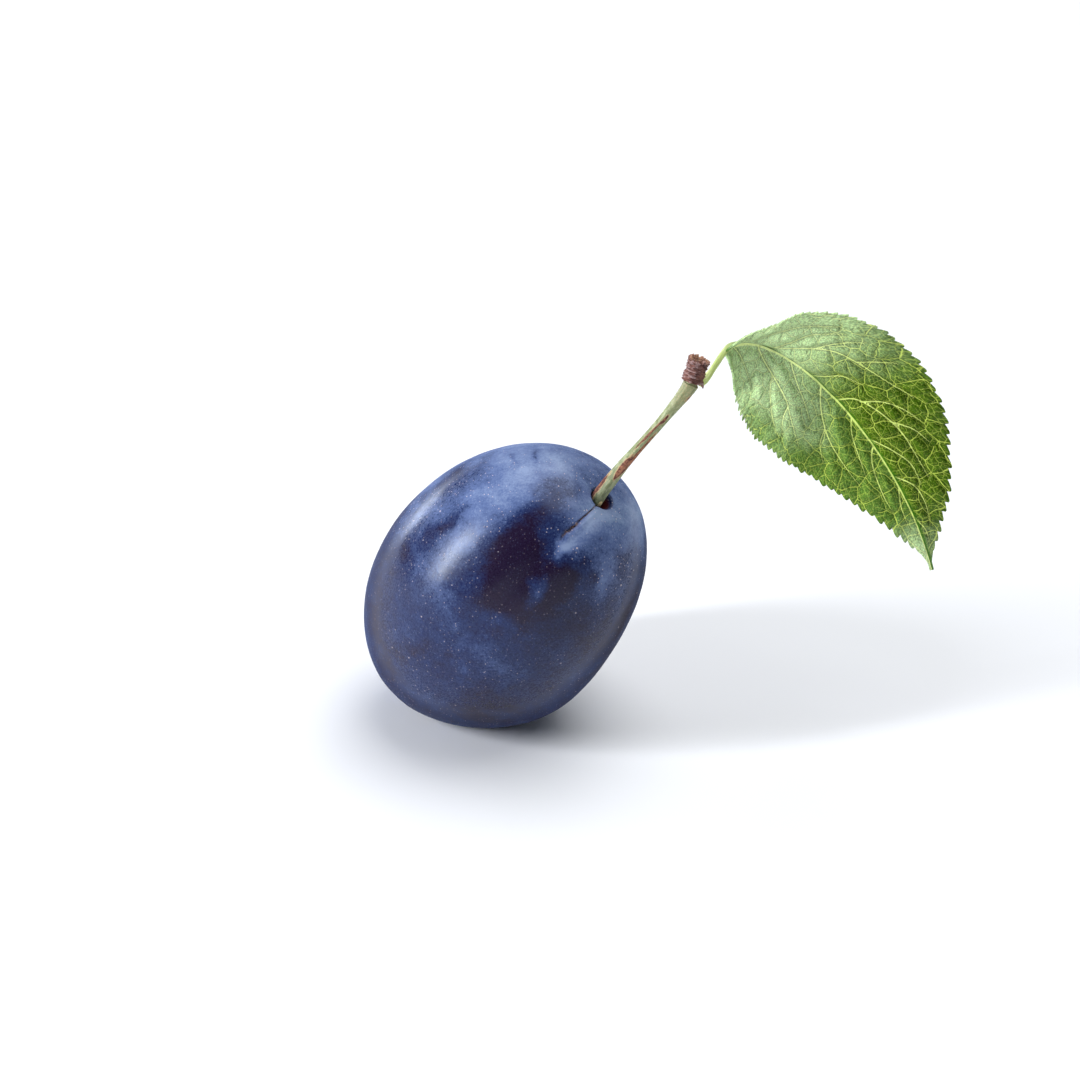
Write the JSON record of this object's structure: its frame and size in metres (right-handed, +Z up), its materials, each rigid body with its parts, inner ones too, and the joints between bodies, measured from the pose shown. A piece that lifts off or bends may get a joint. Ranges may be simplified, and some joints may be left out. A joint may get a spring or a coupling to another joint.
{
  "type": "plum",
  "caption": "Egg-shaped blue prune plum with waxy bloom, a shallow seam, its stalk, a broken spur end and one serrated leaf, resting on a soft flat spot",
  "frame": {"origin": "middle of the flat spot under the fruit, on the surface it rests on", "axes": "+Z up from the surface; +X towards the stalk's and the leaf's side, the longest way across; +Y away from the seam"},
  "size_m": [0.0896, 0.0406, 0.0728],
  "materials": {
    "skin": "dark purple skin under a pale blue wax bloom, satin where rubbed",
    "stalk_bark": "pale olive green, ridged lengthwise, with red-brown corky patches",
    "spur_bark": "rough dark reddish-brown bark with a torn fibrous end",
    "leaf_green": "satin green leaf with pale raised veins"
  },
  "bodies": {
    "root": {"fruit": "skin", "stalk": "stalk_bark", "spur_stub": "spur_bark", "leaf": "leaf_green"}
  },
  "joints": []
}
